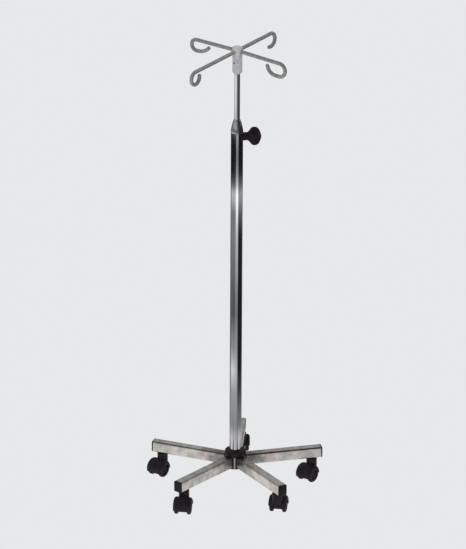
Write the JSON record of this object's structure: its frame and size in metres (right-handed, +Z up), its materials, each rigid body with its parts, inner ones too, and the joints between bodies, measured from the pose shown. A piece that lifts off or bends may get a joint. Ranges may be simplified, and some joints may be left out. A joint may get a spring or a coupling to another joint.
{
  "type": "infusion stand",
  "caption": "Rolling infusion stand: star base on twin-wheel casters, chrome column, sliding and turning rod with a clamp knob, and curled bag hooks.",
  "frame": {"origin": "on the floor, under the column's axis", "axes": "+Z up along the column; +X to the right seen from the front, -Y towards the viewer"},
  "size_m": [0.4717, 0.462, 1.2526],
  "materials": {
    "polished_steel": "polished",
    "chrome_tube": "mirror bright",
    "steel": "plain",
    "black_plastic": "satin",
    "caster_plastic": "fine grain",
    "tyre_plastic": "smooth tread",
    "knob_plastic": "fine grain",
    "cast_hub": "satin silver",
    "hook_wire": "dull plated",
    "guide_plastic": "natural nylon"
  },
  "bodies": {
    "base": {"hub_body": "black_plastic", "hub_collar": "black_plastic", "hub_bolt": "steel", "hub_washer": "steel", "column_foot_plug": "steel", "leg_screws": "steel", "leg_rear": "polished_steel", "leg_left": "polished_steel", "leg_front_left": "polished_steel", "leg_front_right": "polished_steel", "leg_right": "polished_steel", "cap_rear": "black_plastic", "cap_left": "black_plastic", "cap_front_left": "black_plastic", "cap_front_right": "black_plastic", "cap_right": "black_plastic", "caster_sockets": "steel", "stem_rear": "steel", "stem_left": "steel", "stem_front_left": "steel", "stem_front_right": "steel", "stem_right": "steel", "outer_tube": "chrome_tube", "top_cone": "chrome_tube", "guide_bush": "guide_plastic", "clamp_boss": "black_plastic"},
    "pad": {"clamp_pad": "guide_plastic"},
    "knob": {"clamp_knob": "knob_plastic", "clamp_screw": "steel"},
    "rod_sleeve": {"rod_guide": "guide_plastic"},
    "rod": {"inner_rod": "chrome_tube", "rod_clips": "steel", "hook_hub": "cast_hub", "hub_set_screw": "steel", "hook_back_right": "hook_wire", "hook_back_left": "hook_wire", "hook_front_left": "hook_wire", "hook_front_right": "hook_wire"},
    "swivel_rear": {"housing_rear": "caster_plastic", "axle_rear": "steel"},
    "wheel_a_body_rear": {"wheel_a_rear": "tyre_plastic"},
    "wheel_b_body_rear": {"wheel_b_rear": "tyre_plastic"},
    "swivel_left": {"housing_left": "caster_plastic", "axle_left": "steel"},
    "wheel_a_body_left": {"wheel_a_left": "tyre_plastic"},
    "wheel_b_body_left": {"wheel_b_left": "tyre_plastic"},
    "swivel_front_left": {"housing_front_left": "caster_plastic", "axle_front_left": "steel"},
    "wheel_a_body_front_left": {"wheel_a_front_left": "tyre_plastic"},
    "wheel_b_body_front_left": {"wheel_b_front_left": "tyre_plastic"},
    "swivel_front_right": {"housing_front_right": "caster_plastic", "axle_front_right": "steel"},
    "wheel_a_body_front_right": {"wheel_a_front_right": "tyre_plastic"},
    "wheel_b_body_front_right": {"wheel_b_front_right": "tyre_plastic"},
    "swivel_right": {"housing_right": "caster_plastic", "axle_right": "steel"},
    "wheel_a_body_right": {"wheel_a_right": "tyre_plastic"},
    "wheel_b_body_right": {"wheel_b_right": "tyre_plastic"}
  },
  "joints": [
    {"name": "pad_slide", "type": "slide", "parent": "base", "child": "pad", "axis": [0.9903, 0.1392, 0], "range_m": [0, 0.00251]},
    {"name": "knob_turn", "type": "hinge", "parent": "pad", "child": "knob", "pos_m": [0, 0, 1.003], "axis": [0.9903, 0.1392, 0], "range_deg": [0, 720]},
    {"name": "rod_slide", "type": "slide", "parent": "base", "child": "rod_sleeve", "axis": [0, 0, 1], "range_m": [-0.12, 0.7]},
    {"name": "rod_turn", "type": "hinge", "parent": "rod_sleeve", "child": "rod", "pos_m": [0, 0, 0.26], "axis": [0, 0, 1], "continuous": true},
    {"name": "caster_swivel_rear", "type": "hinge", "parent": "base", "child": "swivel_rear", "pos_m": [0.01472, 0.21049, 0.05], "axis": [0, 0, 1], "continuous": true},
    {"name": "wheel_a_spin_rear", "type": "hinge", "parent": "swivel_rear", "child": "wheel_a_body_rear", "pos_m": [0.01472, 0.22849, 0.0215], "axis": [1, 0, 0], "continuous": true},
    {"name": "wheel_b_spin_rear", "type": "hinge", "parent": "swivel_rear", "child": "wheel_b_body_rear", "pos_m": [0.01472, 0.22849, 0.0215], "axis": [1, 0, 0], "continuous": true},
    {"name": "caster_swivel_left", "type": "hinge", "parent": "base", "child": "swivel_left", "pos_m": [-0.19564, 0.07904, 0.05], "axis": [0, 0, 1], "continuous": true},
    {"name": "wheel_a_spin_left", "type": "hinge", "parent": "swivel_left", "child": "wheel_a_body_left", "pos_m": [-0.20622, 0.06448, 0.0215], "axis": [-0.809, 0.5878, 0], "continuous": true},
    {"name": "wheel_b_spin_left", "type": "hinge", "parent": "swivel_left", "child": "wheel_b_body_left", "pos_m": [-0.20622, 0.06448, 0.0215], "axis": [-0.809, 0.5878, 0], "continuous": true},
    {"name": "caster_swivel_front_left", "type": "hinge", "parent": "base", "child": "swivel_front_left", "pos_m": [-0.13563, -0.16164, 0.05], "axis": [0, 0, 1], "continuous": true},
    {"name": "wheel_a_spin_front_left", "type": "hinge", "parent": "swivel_front_left", "child": "wheel_a_body_front_left", "pos_m": [-0.13813, -0.17946, 0.0215], "axis": [-0.9903, 0.1392, 0], "continuous": true},
    {"name": "wheel_b_spin_front_left", "type": "hinge", "parent": "swivel_front_left", "child": "wheel_b_body_front_left", "pos_m": [-0.13813, -0.17946, 0.0215], "axis": [-0.9903, 0.1392, 0], "continuous": true},
    {"name": "caster_swivel_front_right", "type": "hinge", "parent": "base", "child": "swivel_front_right", "pos_m": [0.11181, -0.17894, 0.05], "axis": [0, 0, 1], "continuous": true},
    {"name": "wheel_a_spin_front_right", "type": "hinge", "parent": "swivel_front_right", "child": "wheel_a_body_front_right", "pos_m": [0.11494, -0.16121, 0.0215], "axis": [0.9848, -0.1736, 0], "continuous": true},
    {"name": "wheel_b_spin_front_right", "type": "hinge", "parent": "swivel_front_right", "child": "wheel_b_body_front_right", "pos_m": [0.11494, -0.16121, 0.0215], "axis": [0.9848, -0.1736, 0], "continuous": true},
    {"name": "caster_swivel_right", "type": "hinge", "parent": "base", "child": "swivel_right", "pos_m": [0.20473, 0.05105, 0.05], "axis": [0, 0, 1], "continuous": true},
    {"name": "wheel_a_spin_right", "type": "hinge", "parent": "swivel_right", "child": "wheel_a_body_right", "pos_m": [0.19415, 0.03648, 0.0215], "axis": [-0.809, 0.5878, 0], "continuous": true},
    {"name": "wheel_b_spin_right", "type": "hinge", "parent": "swivel_right", "child": "wheel_b_body_right", "pos_m": [0.19415, 0.03648, 0.0215], "axis": [-0.809, 0.5878, 0], "continuous": true}
  ],
  "couplings": [
    {"joint": "pad_slide", "follows": "knob_turn", "m_per_rad": 0.00019894}
  ]
}
